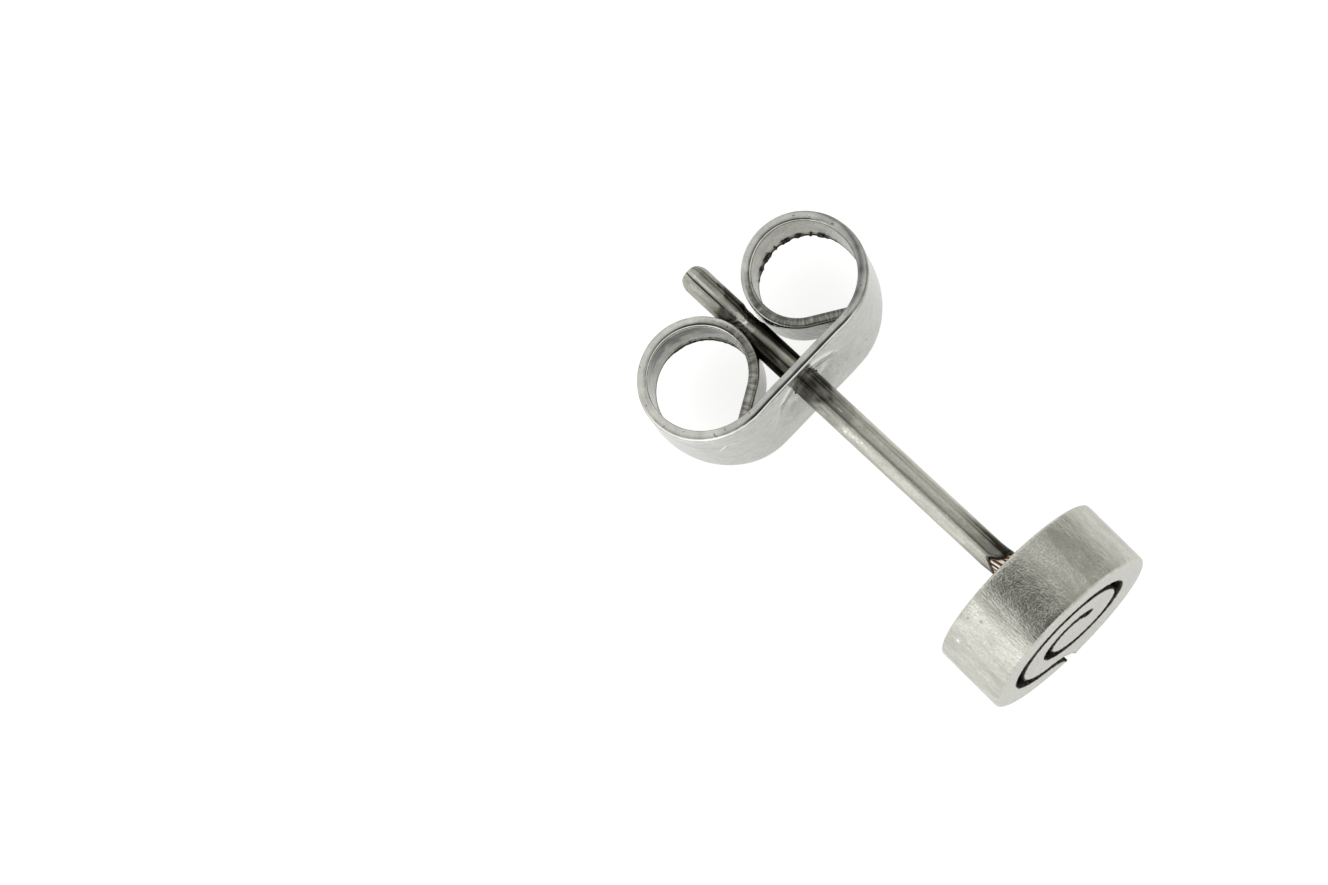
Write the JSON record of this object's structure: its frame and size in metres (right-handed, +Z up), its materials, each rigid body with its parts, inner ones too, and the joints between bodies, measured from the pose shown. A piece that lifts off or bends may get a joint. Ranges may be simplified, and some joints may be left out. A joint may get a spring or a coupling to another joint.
{
  "type": "spiral stud earring",
  "caption": "Steel stud earring: a round disc with a spiral slot cut through it, a welded straight post and a curled butterfly clutch that slides along the post.",
  "frame": {"origin": "middle of the bounding box, on the table that the stud lies on", "axes": "+X from the post's tip towards the disc's face, +Y across, +Z up; the post slopes down to its tip by 2.95 degrees, because the stud rests on the disc's rim and the clutch's plate"},
  "size_m": [0.0146, 0.0074, 0.0056],
  "materials": {
    "satin_steel": "matt, finely brushed stainless steel; the drawn post is darker and shinier",
    "tumbled_steel": "smooth tumbled stainless steel sheet with sheared edges"
  },
  "bodies": {
    "stud": {"spiral_stud": "satin_steel"},
    "clutch": {"butterfly_clutch": "tumbled_steel"}
  },
  "joints": [
    {"name": "clutch_slide", "type": "slide", "parent": "stud", "child": "clutch", "axis": [0.9987, 0, 0.0514], "range_m": [-0.0038, 0.00655]}
  ]
}
